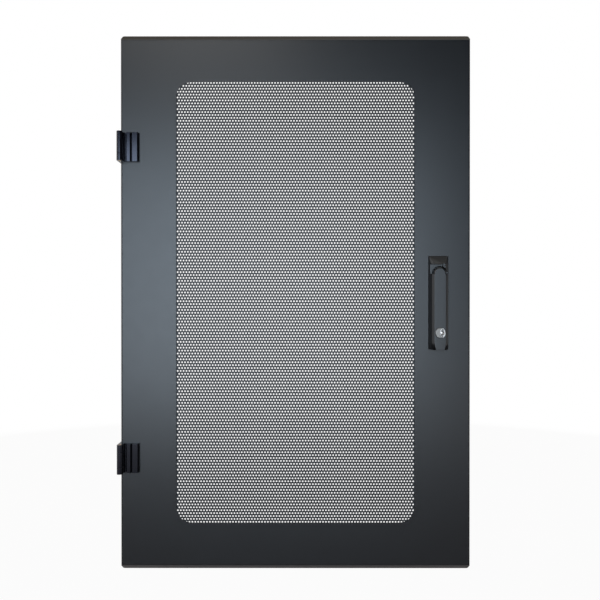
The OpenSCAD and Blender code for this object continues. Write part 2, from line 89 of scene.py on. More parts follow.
class Graph:
    """A thin wrapper that adds and links nodes of one material or world."""

    def __init__(self, tree: bpy.types.NodeTree) -> None:
        """Clears the tree.

        Args:
            tree: The node tree to fill.
        """
        self.tree = tree
        tree.nodes.clear()

    def add(self, kind: str, settings: dict[str, object] | None = None, **inputs: object) -> bpy.types.Node:
        """Adds one node and sets or links its inputs.

        Args:
            kind: The node's type name.
            settings: Attributes set on the node itself.
            inputs: Values or source sockets, keyed by the socket's name with _ for a space, or by n and
                its number.

        Returns:
            The new node.
        """
        node = self.tree.nodes.new(kind)
        for name, value in (settings or {}).items():
            setattr(node, name, value)
        for name, value in inputs.items():
            key = int(name[1:]) if name[0] == "n" and name[1:].isdigit() else name.replace("_", " ")
            if isinstance(value, bpy.types.NodeSocket):
                self.tree.links.new(value, node.inputs[key])
            else:
                node.inputs[key].default_value = value
        return node

    def noise(self, size_mm: float, detail: float = 2.0, stretch: Triple = EVEN) -> bpy.types.NodeSocket:
        """Adds noise on Object coordinates.

        Args:
            size_mm: Size of one lump.
            detail: Octaves of the noise.
            stretch: Scale along each axis before the noise is read.

        Returns:
            The noise's value, 0 to 1.
        """
        place = self.add("ShaderNodeTexCoord").outputs["Object"]
        if stretch != EVEN:
            place = self.add("ShaderNodeMapping", Vector=place, Scale=stretch).outputs[0]
        lumps_per_metre = 1.0 / (size_mm * MM)
        return self.add("ShaderNodeTexNoise", Vector=place, Scale=lumps_per_metre, Detail=detail).outputs[0]

    def remap(self, value: bpy.types.NodeSocket, low: float, high: float) -> bpy.types.NodeSocket:
        """Spreads the middle of a noise, from 0.3 to 0.7, over a range.

        Args:
            value: The noise.
            low: Result at and below the middle's lower end.
            high: Result at and above its upper end.

        Returns:
            The remapped value.
        """
        return self.add("ShaderNodeMapRange", Value=value, From_Min=0.3, From_Max=0.7,
                        To_Min=low, To_Max=high).outputs[0]

    def smooth_step(self, value: bpy.types.NodeSocket, start: float, end: float) -> bpy.types.NodeSocket:
        """Changes smoothly from 0 where the value is start to 1 where it is end.

        Args:
            value: The value that drives the change.
            start: Value that gives 0.
            end: Value that gives 1.

        Returns:
            The share, 0 to 1.
        """
        return self.add("ShaderNodeMapRange", {"interpolation_type": "SMOOTHSTEP"}, Value=value,
                        From_Min=start, From_Max=end, To_Min=0.0, To_Max=1.0).outputs[0]

    def either(self, first: object, second: object) -> bpy.types.NodeSocket:
        """Returns the larger of two values."""
        return self.math("MAXIMUM", first, second)

    def math(self, operation: str, first: object, second: object) -> bpy.types.NodeSocket:
        """Joins two values by an operation.

        Args:
            operation: The operation's name.
            first: Number or socket.
            second: Number or socket.

        Returns:
            The result.
        """
        return self.add("ShaderNodeMath", {"operation": operation}, n0=first, n1=second).outputs[0]

    def blend(self, factor: bpy.types.NodeSocket, low: Colour, high: Colour) -> bpy.types.NodeSocket:
        """Mixes two colours by a factor.

        Args:
            factor: 0 gives low and 1 gives high.
            low: Linear colour.
            high: Linear colour.

        Returns:
            The mixed colour.
        """
        mix = self.add("ShaderNodeMix", {"data_type": "RGBA"}, Factor=factor)
        mix.inputs[6].default_value = rgba(low)
        mix.inputs[7].default_value = rgba(high)
        return mix.outputs[2]


def rgba(colour: Colour) -> tuple[float, float, float, float]:
    """Returns the colour with full opacity."""
    return (*colour, 1.0)


def shade(colour: Colour, factor: float) -> Colour:
    """Returns the colour times a factor."""
    return (colour[0] * factor, colour[1] * factor, colour[2] * factor)


def new_material(name: str) -> tuple[bpy.types.Material, Graph]:
    """Makes an empty node material.

    Args:
        name: The material's name.

    Returns:
        The material and its graph.
    """
    material = bpy.data.materials.new(name)
    material.use_nodes = True
    return material, Graph(material.node_tree)


# -------------------------------------------------------------------- finishes


@dataclass(frozen=True)
class CoatFinish:
    """Baked coating on steel or a casting: fine orange peel, with slow drifts of colour and gloss."""

    name: str
    base: Colour
    roughness: float
    specular: float
    peel_mm: float
    peel_depth_mm: float
    tint: Colour = WHITE
    drift: float = 0.06
    drift_mm: float = 60.0
    gloss_drift: float = 0.008

    def material(self) -> bpy.types.Material:
        """Makes the coating: peel bump over a base that drifts slowly in colour and gloss.

        Returns:
            The coating's material.
        """
        material, graph = new_material(self.name)
        slow = graph.noise(self.drift_mm)
        fine = graph.noise(self.peel_mm, 3.0)
        colour = graph.blend(graph.remap(slow, 0.0, 1.0), shade(self.base, 1 - self.drift),
                             shade(self.base, 1 + self.drift))
        gloss = graph.remap(graph.noise(self.drift_mm / 4), self.roughness - self.gloss_drift,
                            self.roughness + self.gloss_drift)
        bump = graph.add("ShaderNodeBump", Strength=1.0, Distance=self.peel_depth_mm * MM, Height=fine)
        shader = graph.add("ShaderNodeBsdfPrincipled", Base_Color=colour, Roughness=gloss,
                           Normal=bump.outputs[0])
        shader.inputs["Specular IOR Level"].default_value = self.specular
        shader.inputs["Specular Tint"].default_value = rgba(self.tint)
        graph.add("ShaderNodeOutputMaterial", Surface=shader.outputs[0])
        return material


@dataclass(frozen=True)
class PlatedFinish:
    """Plated metal: a tint that drifts from light to yellowish, and drawn grain along one axis."""

    name: str
    light: Colour
    warm: Colour
    roughness: float
    grain_mm: float
    grain_depth_mm: float
    grain: Triple = EVEN
    cloud_mm: float = 9.0
    gloss_range: Pair = (0.85, 1.2)

    def material(self) -> bpy.types.Material:
        """Makes the plating: cloudy tint, and grain that shows in gloss and relief.

        Returns:
            The plated metal's material.
        """
        material, graph = new_material(self.name)
        colour = graph.blend(graph.remap(graph.noise(self.cloud_mm, 3.0), 0.0, 1.0), self.light, self.warm)
        grain = graph.noise(self.grain_mm, 2.0, self.grain)
        gloss = graph.remap(grain, *(self.roughness * share for share in self.gloss_range))
        bump = graph.add("ShaderNodeBump", Strength=1.0, Distance=self.grain_depth_mm * MM, Height=grain)
        shader = graph.add("ShaderNodeBsdfPrincipled", Base_Color=colour, Roughness=gloss,
                           Normal=bump.outputs[0], Metallic=1.0)
        graph.add("ShaderNodeOutputMaterial", Surface=shader.outputs[0])
        return material


@dataclass(frozen=True)
class MouldedFinish:
    """Moulded rubber or nylon: matt, with a fine spark-eroded grain."""

    name: str
    base: Colour
    roughness: float
    grain_mm: float
    grain_depth_mm: float
    cloud_mm: float = 7.0
    tone_range: Pair = (0.85, 1.2)
    gloss_drift: float = 0.05
    specular: float = 0.35

    def material(self) -> bpy.types.Material:
        """Makes the moulding: cloudy tone, and grain that shows in gloss and relief.

        Returns:
            The moulded material.
        """
        material, graph = new_material(self.name)
        colour = graph.blend(graph.remap(graph.noise(self.cloud_mm), 0.0, 1.0),
                             *(shade(self.base, factor) for factor in self.tone_range))
        grain = graph.noise(self.grain_mm, 2.0)
        gloss = graph.remap(grain, self.roughness - self.gloss_drift, self.roughness + self.gloss_drift)
        bump = graph.add("ShaderNodeBump", Strength=1.0, Distance=self.grain_depth_mm * MM, Height=grain)
        shader = graph.add("ShaderNodeBsdfPrincipled", Base_Color=colour, Normal=bump.outputs[0],
                           Roughness=gloss)
        shader.inputs["Specular IOR Level"].default_value = self.specular
        graph.add("ShaderNodeOutputMaterial", Surface=shader.outputs[0])
        return material


POWDER_COAT = CoatFinish(
    "satin powder coat", base=(0.0060, 0.0063, 0.0072), roughness=0.34, specular=0.5,
    peel_mm=0.9, peel_depth_mm=0.006)
SHEET_COAT = CoatFinish(
    "powder coat on perforated sheet", base=(0.020, 0.0205, 0.022), roughness=0.50, specular=0.35,
    peel_mm=0.9, peel_depth_mm=0.006)
HINGE_COAT = CoatFinish(
    "coated hinge casting", base=(0.0030, 0.0032, 0.0042), roughness=0.14, specular=0.5,
    peel_mm=0.7, peel_depth_mm=0.002, tint=(0.68, 0.71, 0.88))
HANDLE_COAT = CoatFinish(
    "coated handle casting", base=(0.0045, 0.0048, 0.0054), roughness=0.33, specular=0.5,
    peel_mm=0.6, peel_depth_mm=0.005)
ZINC = PlatedFinish(
    "zinc plate", light=(0.44, 0.45, 0.46), warm=(0.46, 0.44, 0.39), roughness=0.44,
    grain_mm=0.35, grain_depth_mm=0.004, grain=(1.0, 1.0, 0.25))
YELLOW_ZINC = PlatedFinish(
    "yellow passivated zinc", light=(0.42, 0.25, 0.06), warm=(0.36, 0.21, 0.05), roughness=0.36,
    grain_mm=0.35, grain_depth_mm=0.004)
CHROME = PlatedFinish(
    "chrome plate", light=(0.34, 0.32, 0.31), warm=(0.36, 0.34, 0.32), roughness=0.13,
    grain_mm=0.5, grain_depth_mm=0.00008)
RIM_CHROME = PlatedFinish(
    "buffed chrome plate", light=(0.46, 0.45, 0.43), warm=(0.48, 0.46, 0.44), roughness=0.30,
    grain_mm=0.4, grain_depth_mm=0.0003)
SATIN_CHROME = PlatedFinish(
    "satin chrome plate", light=(0.178, 0.166, 0.154), warm=(0.192, 0.178, 0.164), roughness=0.42,
    grain_mm=0.3, grain_depth_mm=0.0005)
RUBBER = MouldedFinish(
    "matt rubber", base=(0.014, 0.014, 0.015), roughness=0.75, grain_mm=0.35, grain_depth_mm=0.02)
NYLON = MouldedFinish(
    "black nylon", base=(0.018, 0.018, 0.019), roughness=0.5, grain_mm=0.25, grain_depth_mm=0.01)


class Slot(Enum):
    """The record's material slots, each with a finish; the last one of a slot is for its CAD nodes."""

    DOOR = ("black_powder_coat", POWDER_COAT)
    SHEET = ("perforated_steel", SHEET_COAT)
    HINGE = ("black_casting", HINGE_COAT)
    HANDLE = ("black_handle_casting", HANDLE_COAT)
    PIN = ("zinc_plated_steel", YELLOW_ZINC)
    ZINC = ("zinc_plated_steel", ZINC)
    SATIN = ("lock_chrome", SATIN_CHROME)
    RIM = ("lock_chrome", RIM_CHROME)
    CHROME = ("lock_chrome", CHROME)
    RUBBER = ("black_rubber", RUBBER)
    NYLON = ("black_nylon", NYLON)

    @property
    def slot_name(self) -> str:
        """Returns the name of the slot in the record."""
        return self.value[0]


class Paintbox:
    """Makes each finish's material once and puts it on pieces."""

    def __init__(self) -> None:
        """Makes every slot's material."""
        self.materials = {slot: slot.value[1].material() for slot in Slot}

    def coat(self, piece: bpy.types.Object, slot: Slot) -> None:
        """Gives a piece one material for all its faces.

        Args:
            piece: The piece to finish.
            slot: The finish's slot.
        """
        piece.data.materials.clear()
        piece.data.materials.append(self.materials[slot])

    def coat_cad_nodes(self) -> None:
        """Gives every CAD node its slot's finish."""
        by_name = {slot.slot_name: slot for slot in Slot}
        for row in frame["record"]["subparts"]:
            self.coat(frame["nodes"][row["node"]], by_name[row["material_slot"]])


# ------------------------------------------------------------ surfaces in numpy


def mesh_piece(name: str, points: np.ndarray, faces: list[np.ndarray]) -> bpy.types.Object:
    """Makes an object from points and faces, with its faces pointing outwards.

    Args:
        name: The piece's name.
        points: Corners in metres, one row each.
        faces: Arrays of corner numbers, one face per row; each array holds faces of one size.

    Returns:
        The new object.
    """
    mesh = bpy.data.meshes.new(name)
    sizes = np.concatenate([np.full(len(rows), rows.shape[1]) for rows in faces])
    corners = np.concatenate([rows.ravel() for rows in faces]).astype(np.int32)
    mesh.vertices.add(len(points))
    mesh.vertices.foreach_set("co", np.ascontiguousarray(points, dtype=np.float32).ravel())
    mesh.loops.add(len(corners))
    mesh.loops.foreach_set("vertex_index", corners)
    mesh.polygons.add(len(sizes))
    mesh.polygons.foreach_set("loop_start", np.concatenate([[0], np.cumsum(sizes)[:-1]]).astype(np.int32))
    mesh.update(calc_edges=True)
    if signed_volume(mesh) < 0:
        mesh.flip_normals()
    mesh.shade_smooth()
    mesh.set_sharp_from_angle(angle=CREASE_ANGLE)
    piece = bpy.data.objects.new(name, mesh)
    bpy.context.scene.collection.objects.link(piece)
    return piece


def signed_volume(mesh: bpy.types.Mesh) -> float:
    """Adds up, over the triangles, a sixth of one corner dotted with the cross product of the others.

    Args:
        mesh: A closed mesh.

    Returns:
        Its volume, negative where the faces point inwards.
    """
    mesh.calc_loop_triangles()
    corners = np.empty(len(mesh.loop_triangles) * 3, dtype=np.int32)
    mesh.loop_triangles.foreach_get("vertices", corners)
    points = np.empty(len(mesh.vertices) * 3, dtype=np.float32)
    mesh.vertices.foreach_get("co", points)
    a, b, c = points.reshape(-1, 3)[corners.reshape(-1, 3)].astype(float).transpose(1, 0, 2)
    return float(np.einsum("ij,ij->", a, np.cross(b, c)) / 6)


def turn_angles(count: int) -> np.ndarray:
    """Returns equally spaced angles of a full turn, from 0."""
    return np.arange(count) * FULL_TURN / count


def grid_quads(rows: int, cols: int, wrap_rows: bool, wrap_cols: bool) -> np.ndarray:
    """Numbers the quads of a grid of points stored row by row.

    Args:
        rows: Rows of points.
        cols: Points in a row.
        wrap_rows: Whether the last row joins the first.
        wrap_cols: Whether the last point of a row joins its first.

    Returns:
        One row of four point numbers per quad.
    """
    row = np.arange(rows if wrap_rows else rows - 1)[:, None]
    col = np.arange(cols if wrap_cols else cols - 1)[None, :]
    next_row, next_col = (row + 1) % rows, (col + 1) % cols
    quads = np.stack(np.broadcast_arrays(row * cols + col, row * cols + next_col,
                                         next_row * cols + next_col, next_row * cols + col), axis=-1)
    return quads.reshape(-1, 4)


def lofted(name: str, rings: np.ndarray) -> bpy.types.Object:
    """Joins closed rings of points into a skin and closes both ends with flat caps.

    Args:
        name: The piece's name.
        rings: Points in metres, shaped rings by points by 3.

    Returns:
        The closed piece.
    """
    count, size = rings.shape[:2]
    caps = np.stack([np.arange(size)[::-1], (count - 1) * size + np.arange(size)])
    return mesh_piece(name, rings.reshape(-1, 3), [grid_quads(count, size, False, True), caps])


def rounded_corners(corners: np.ndarray, radii: np.ndarray,
                    steps: int = 6) -> tuple[np.ndarray, np.ndarray]:
    """Rounds a closed outline's corners.

    The arc at a corner starts at the corner minus the tangent length along the edge that arrives, where
    the tangent length is the radius times the tangent of half the turn. Its centre is one radius to the
    inner side, and its points are the centre plus the radius times the edge's normal, turned in equal
    steps.

    Args:
        corners: Outline corners, anticlockwise, one row each.
        radii: Radius at each corner.
        steps: Points on each arc.

    Returns:
        Points and outward unit normals, one row each.
    """
    arriving = corners - np.roll(corners, 1, axis=0)
    arriving /= np.linalg.norm(arriving, axis=1, keepdims=True)
    leaving = np.roll(arriving, -1, axis=0)
    turn = np.arctan2(arriving[:, 0] * leaving[:, 1] - arriving[:, 1] * leaving[:, 0],
                      np.sum(arriving * leaving, axis=1))
    side = np.where(turn < 0, -1.0, 1.0)
    outward = np.stack([arriving[:, 1], -arriving[:, 0]], axis=1)
    start = corners - arriving * (radii * np.tan(np.abs(turn) / 2))[:, None]
    centre = start - outward * (side * radii)[:, None]
    angle = turn[:, None] * np.linspace(0, 1, steps)[None, :]
    cos, sin = np.cos(angle), np.sin(angle)
    normal = np.stack([cos * outward[:, :1] - sin * outward[:, 1:],
                       sin * outward[:, :1] + cos * outward[:, 1:]], axis=2)
    points = centre[:, None, :] + normal * (side * radii)[:, None, None]
    return points.reshape(-1, 2), normal.reshape(-1, 2)


def edge_rounding(radius: float, steps: int = 4) -> tuple[np.ndarray, np.ndarray]:
    """Works out a quarter-round edge.

    Inset is the radius times one minus the cosine, and depth the radius times one minus the sine, of an
    angle that runs from the flat end, where it is 90 degrees, to the side, where it is 0.

    Args:
        radius: Radius of the edge.
        steps: Points on the quarter.

    Returns:
        Inset of the outline and depth below the end, at each step from the end to the side.
    """
    angle = np.linspace(math.pi / 2, 0, steps)
    return radius * (1 - np.cos(angle)), radius * (1 - np.sin(angle))


def collar(reach: np.ndarray, bore: float, low: float, high: float, edge: float) -> np.ndarray:
    """Works out a ring round an axis, with rounded ends and a bore.

    The section at each angle is a closed loop of distance and height: up the bore, out over the upper end,
    down the outside at that angle's reach, and back under the lower end. Outer corners are quarter-rounds.

    Args:
        reach: Outer distance from the axis at each of a full turn's equally spaced angles.
        bore: Radius of the bore.
        low: Height of the lower end.
        high: Height of the upper end.
        edge: Radius of the outer edges.

    Returns:
        Points shaped angles by section by 3, about the Z axis.
    """
    inset, depth = edge_rounding(edge)
    share = np.concatenate([[0.0, 0.0], np.ones(2 * len(inset))])
    inward = np.concatenate([[0.0, 0.0], inset, inset[::-1]])
    height = np.concatenate([[low, high], high - depth, low + depth[::-1]])
    distance = bore + (reach[:, None] - bore) * share[None, :] - inward[None, :]
    angle = turn_angles(len(reach))
    return np.stack([distance * np.cos(angle)[:, None], distance * np.sin(angle)[:, None],
                     np.broadcast_to(height, distance.shape)], axis=2)


def ring_piece(name: str, rings: np.ndarray) -> bpy.types.Object:
    """Joins closed sections round a closed path into one skin.

    Args:
        name: The piece's name.
        rings: Points in metres, shaped stations by section by 3.

    Returns:
        The closed piece.
    """
    return mesh_piece(name, rings.reshape(-1, 3), [grid_quads(*rings.shape[:2], True, True)])


def flat_faced(piece: bpy.types.Object) -> bpy.types.Object:
    """Gives a piece normals that follow its largest faces, so that flats stay flat beside rounded edges.

    Args:
        piece: The piece.

    Returns:
        The same piece.
    """
    flats = piece.modifiers.new("flat faces stay flat", "WEIGHTED_NORMAL")
    flats.mode = "FACE_AREA"
    flats.weight = FLAT_WEIGHT
    flats.keep_sharp = True
    return piece


def softened(node: str, name: str, width_mm: float, segments: int = 2,
             front_y: float = -math.inf, back_y: float = math.inf) -> bpy.types.Object:
    """Copies a CAD node, joins its flat triangles into faces and rounds its sharp edges with a bevel.

    Args:
        node: The CAD node.
        name: The new piece's name.
        width_mm: Width of the rounded edges.
        segments: Faces across a rounded edge.
        front_y: Edges that lie wholly in front of this Y stay sharp.
        back_y: Edges that reach this Y or lie behind it stay sharp.

    Returns:
        The new piece.
    """
    mesh = frame["nodes"][node].data.copy()
    mesh.name = name
    body = bmesh.new()
    body.from_mesh(mesh)
    bmesh.ops.remove_doubles(body, verts=body.verts, dist=MERGE)
    bmesh.ops.dissolve_degenerate(body, dist=SLIVER, edges=body.edges)
    bmesh.ops.dissolve_limit(body, angle_limit=FLAT_ANGLE, verts=body.verts, edges=body.edges)
    weight = body.edges.layers.float.new("bevel_weight_edge")
    for edge in body.edges:
        sharp = edge.calc_face_angle(0.0) > SHARP_ANGLE
        rounded = sharp and front_y <= max(end.co.y for end in edge.verts) < back_y
        edge[weight] = float(rounded)
        edge.smooth = rounded or not sharp
    body.to_mesh(mesh)
    body.free()
    mesh.shade_smooth()
    piece = bpy.data.objects.new(name, mesh)
    bpy.context.scene.collection.objects.link(piece)
    bevel = piece.modifiers.new("rounded edges", "BEVEL")
    bevel.width = width_mm * MM
    bevel.segments = segments
    bevel.limit_method = "WEIGHT"
    bevel.use_clamp_overlap = False
    return flat_faced(piece)


def install(piece: bpy.types.Object, body: str, slot: Slot, paint: Paintbox, *nodes: str) -> None:
    """Puts a finished piece on its body and reports it.

    Args:
        piece: The piece.
        body: The body that it rides on.
        slot: Its finish.
        paint: The materials.
        nodes: CAD nodes that it replaces.
    """
    paint.coat(piece, slot)
    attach(piece, body)
    if nodes:
        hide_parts(*nodes)
    log.info("%s: %d faces, on %s", piece.name, len(piece.data.polygons), body)


# ------------------------------------------------------------- perforated field


@dataclass
class PerforatedField:
    """The perforated sheet with every hole, in bands one above the other.

    Rows of holes are staggered by half a pitch. Each hole has a square cell whose upper and lower edges have
    a point half way, where the cells of the next rows meet, so all cells share their corners. The holes'
    rings have twelve sides, which a cell's faces share out between its six edge points.
    """

    sides: ClassVar[int] = 12

    pitch: float = 5.0 * MM
    hole_r: float = 1.5 * MM
    rows: int = 152
    cols: int = 82
    bands: int = 4

    def __post_init__(self) -> None:
        """Reads the sheet's place from the CAD node."""
        self.low, self.high = (np.array(corner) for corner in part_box("perforated_sheet"))
        self.centre = (self.low + self.high) / 2

    def lattice(self, first: int, last: int) -> tuple[np.ndarray, np.ndarray]:
        """Works out where the cells' corners stand across and up the sheet.

        Args:
            first: First row of holes in the band.
            last: Row after the band's last.

        Returns:
            Positions across and positions up.
        """
        half_across = self.cols * self.pitch / 2
        across = self.centre[0] + np.arange(2 * self.cols + 1) * self.pitch / 2 - half_across
        across = np.concatenate([[self.low[0]], across, [self.high[0]]])
        up = self.centre[2] + (np.arange(first, last + 1) - self.rows / 2) * self.pitch
        if first == 0:
            up = np.concatenate([[self.low[2]], up])
        if last == self.rows:
            up = np.concatenate([up, [self.high[2]]])
        return across, up

    def band(self, number: int) -> bpy.types.Object:
        """Builds one band of the sheet.

        Front and back faces share one plan: a cell is four quads and two seven-sided faces between its six
        edge points and the hole's ring, whose points stand at the hole's centre plus its radius times the
        cosine and sine of equal angles. Quads close the holes' walls and the band's outer edge.

        Args:
            number: The band, counted from the bottom.

        Returns:
            The band's piece.
        """
        per_band = self.rows // self.bands
        first, last = number * per_band, (number + 1) * per_band
        across, up = self.lattice(first, last)
        width, height = len(across), len(up)
        skirt = 1 if first == 0 else 0
        row = np.repeat(np.arange(first, last), self.cols)
        col = np.tile(np.arange(self.cols), last - first)
        keep = col < self.cols - row % 2
        row, col = row[keep], col[keep]
        left = 1 + 2 * col + row % 2
        base = (row - first + skirt) * width + left
        ring0 = width * height + np.arange(len(row))[:, None] * self.sides
        angle = turn_angles(self.sides) - math.pi / 2
        hole_x = across[left + 1][:, None] + self.hole_r * np.cos(angle)[None, :]
        hole_z = (up[row - first + skirt] + self.pitch / 2)[:, None] + self.hole_r * np.sin(angle)[None, :]
        flat_x = np.concatenate([np.tile(across, height), hole_x.ravel()])
        flat_z = np.concatenate([np.repeat(up, width), hole_z.ravel()])
        above = base + width
        edge = np.stack([base + 1, base + 2, above + 2, above + 1, above, base], axis=1)
        quads, sevens = self.cell_faces(edge, ring0)
        front = [np.concatenate([quads, self.plain_quads(first, last, width, height, skirt)]), sevens]
        total = len(flat_x)
        points = np.concatenate([np.stack([flat_x, np.full(total, y), flat_z], axis=1)
                                 for y in (self.low[1], self.high[1])])
        back = [rows[:, ::-1] + total for rows in front]
        ring = ring0 + np.arange(self.sides)
        rim = self.rim(width, height)
        walls = [self.wall(ring, total), self.wall(rim[None, ::-1], total)]
        return mesh_piece(f"perforated_band_{number + 1}", points, front + back + walls)

    def cell_faces(self, edge: np.ndarray, ring0: np.ndarray) -> tuple[np.ndarray, np.ndarray]:
        """Numbers the faces between the cells' six edge points and their holes' rings of twelve.

        Each quad has two edge points and two ring points. Each seven-sided face has two edge points and five
        ring points.

        Args:
            edge: Edge points of each cell, from the middle of its lower side and anticlockwise.
            ring0: Number of each ring's lowest point.

        Returns:
            The quads and the seven-sided faces.
        """
        spans = ((0, 1, 0, 1), (2, 3, 5, 6), (3, 4, 6, 7), (5, 0, 11, 12))
        lowest = ring0[:, 0]
        quads = [np.stack([edge[:, start], edge[:, end], lowest + last % self.sides, lowest + first], axis=1)
                 for start, end, first, last in spans]
        sevens = [np.concatenate([edge[:, [start, start + 1]], ring0 + np.arange(first + 4, first - 1, -1)],
                                 axis=1)
                  for start, first in ((1, 1), (4, 7))]
        return np.concatenate(quads), np.concatenate(sevens)

    def plain_quads(self, first: int, last: int, width: int, height: int, skirt: int) -> np.ndarray:
        """Numbers the quads without holes: the margins, and the half cells that end every second row.

        Args:
            first: First row of holes in the band.
            last: Row after the band's last.
            width: Lattice points across.
            height: Lattice points up.
            skirt: Rows of margin below the band's first row of holes.

        Returns:
            One row of four point numbers per quad.
        """
        row, col = np.meshgrid(np.arange(height - 1), np.arange(width - 1), indexing="ij")
        hole_row = row - skirt + first
        in_field = (hole_row >= first) & (hole_row < last)
        margin = ~in_field | (col == 0) | (col == width - 2)
        half_cell = in_field & (hole_row % 2 == 1) & ((col == 1) | (col == width - 3))
        start = (row * width + col)[margin | half_cell]
        return np.stack([start, start + 1, start + width + 1, start + width], axis=1)

    @staticmethod
    def rim(width: int, height: int) -> np.ndarray:
        """Numbers the lattice's outer points once round, anticlockwise."""
        grid = np.arange(width * height).reshape(height, width)
        return np.concatenate([grid[0, :-1], grid[:-1, -1], grid[-1, :0:-1], grid[:0:-1, 0]])

    @staticmethod
    def wall(rings: np.ndarray, total: int) -> np.ndarray:
        """Numbers the quads that join each front ring to its copy at the back.

        Args:
            rings: Point numbers round each ring.
            total: Points in the front layer.

        Returns:
            One row of four point numbers per quad.
        """
        after = np.roll(rings, -1, axis=1)
        return np.stack([rings, after, after + total, rings + total], axis=-1).reshape(-1, 4)

    def build(self, paint: Paintbox) -> None:
        """Builds and installs every band.

        Args:
            paint: The materials.
        """
        for number in range(self.bands):
            install(self.band(number), "door", Slot.SHEET, paint, "perforated_sheet")


# ----------------------------------------------------------------------- hinges


class Level(Enum):
    """Which of the two hinges."""

    UPPER = "upper"
    LOWER = "lower"


@dataclass
class Hinge:
    """One lift-off hinge.

    The door's leaf is ribbed and has the middle knuckle. The cabinet's leaf is plain and has the two end
    knuckles.
    """

    level: Level
    pin: Pair = (2.3 * MM, -55.0 * MM)
    face_y: float = -40.0 * MM
    start_x: float = 0.3 * MM
    width: float = 32.5 * MM
    thickness: float = 8.5 * MM
    knuckle_r: float = 5.1 * MM
    web_set_back: float = 1.2 * MM
    bore: float = 3.05 * MM
    end_knuckle: float = 12.0 * MM
    split: float = 0.05 * MM
    edge: float = 0.4 * MM
    cabinet_edge_mm: float = 0.3

    def __post_init__(self) -> None:
        """Reads the leaf's height from the CAD node."""
        low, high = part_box(f"{self.level.value}_door_leaf")
        self.low_z, self.high_z = low[2], high[2]
        self.mid_z = (self.low_z + self.high_z) / 2

    def leaf_section(self) -> tuple[np.ndarray, np.ndarray]:
        """Works out the ribbed leaf's section: a wide channel, a narrow groove and a chamfer, all rounded.

        Each corner is given by its distance from the leaf's outer edge, its height over the door's face and
        its radius, in millimetres, from the knuckle to that edge.

        Returns:
            Points across and out from the door's face, and their outward normals.
        """
        wide, top = self.width / MM, self.thickness / MM
        channel, groove, chamfer = top - 4.5, top - 4, 3.5
        from_edge, out, radii = np.array([
            (wide, 0, 0.05), (wide, top, 1.2),
            (25.4, top, 0.8), (24.2, channel, 0.7), (22, channel, 0.7), (20.5, top, 0.6),
            (14.6, top, 0.6), (12.2, groove, 0.25), (11.6, groove, 0.15), (11.0, top, 0.5),
            (2.2, top, 0.7), (0, chamfer, 1.0), (0, 0, 0.05)])[::-1].T
        return rounded_corners(np.stack([wide - from_edge, out], axis=1) * MM, radii * MM)

    def leaf(self) -> bpy.types.Object:
        """Carries the ribbed section up the leaf's height.

        Towards both ends the section is drawn in along its normals by the inset of a quarter-round, though
        never past the door's face or the leaf's sides.

        Returns:
            The leaf's piece.
        """
        section, normals = self.leaf_section()
        inset, depth = edge_rounding(self.edge)
        insets = np.concatenate([inset, inset[::-1]])
        heights = np.concatenate([self.low_z + depth, self.high_z - depth[::-1]])
        drawn = section[None] - insets[:, None, None] * normals[None]
        out = np.maximum(drawn[..., 1], 0)
        across = np.clip(drawn[..., 0], 0, self.width)
        rings = np.stack([self.start_x + across, self.face_y - out,
                          np.broadcast_to(heights[:, None], out.shape)], axis=2)
        return flat_faced(lofted(f"{self.level.value}_leaf_plate", rings))

    def knuckle_reach(self, count: int = 96) -> np.ndarray:
        """Works out the door knuckle's outline about the pin.

        The reach at an angle is the larger of the knuckle's radius and the distance at which that direction
        leaves the square web that joins the knuckle to the leaf.

        Args:
            count: Angles in a full turn.

        Returns:
            The reach at each angle.
        """
        angle = turn_angles(count)
        cos, sin = np.cos(angle), np.sin(angle)
        web_left, web_right = self.pin[0] - self.start_x, self.knuckle_r
        web_back = self.face_y - self.thickness + self.web_set_back - self.pin[1]
        to_side = np.where(cos >= 0, web_right, web_left) / np.maximum(np.abs(cos), LEAST)
        to_back = web_back / np.maximum(sin, LEAST)
        web = np.where(sin > 0, np.minimum(to_side, to_back), 0)
        return np.maximum(web, self.knuckle_r)

    def knuckle(self) -> bpy.types.Object:
        """Sweeps the bored section round the pin with the knuckle's reach.

        Returns:
            The knuckle's piece.
        """
        half = (self.high_z - self.low_z) / 2 - self.end_knuckle - 2 * self.split
        rings = collar(self.knuckle_reach(), self.bore, -half, half, self.edge)
        rings += np.array([*self.pin, self.mid_z])
        return flat_faced(ring_piece(f"{self.level.value}_leaf_knuckle", rings))

    def build(self, paint: Paintbox) -> None:
        """Builds and installs both leaves.

        Args:
            paint: The materials.
        """
        node = f"{self.level.value}_door_leaf"
        install(self.leaf(), "door", Slot.HINGE, paint, node)
        install(self.knuckle(), "door", Slot.HINGE, paint, node)
        cabinet_node = f"{self.level.value}_frame_leaf"
        cabinet = softened(cabinet_node, f"{self.level.value}_cabinet_leaf", self.cabinet_edge_mm)
        install(cabinet, "cabinet_leaves", Slot.HINGE, paint, cabinet_node)
        paint.coat(frame["nodes"][f"{self.level.value}_hinge_pin"], Slot.PIN)


# ------------------------------------------------------------------------- lock


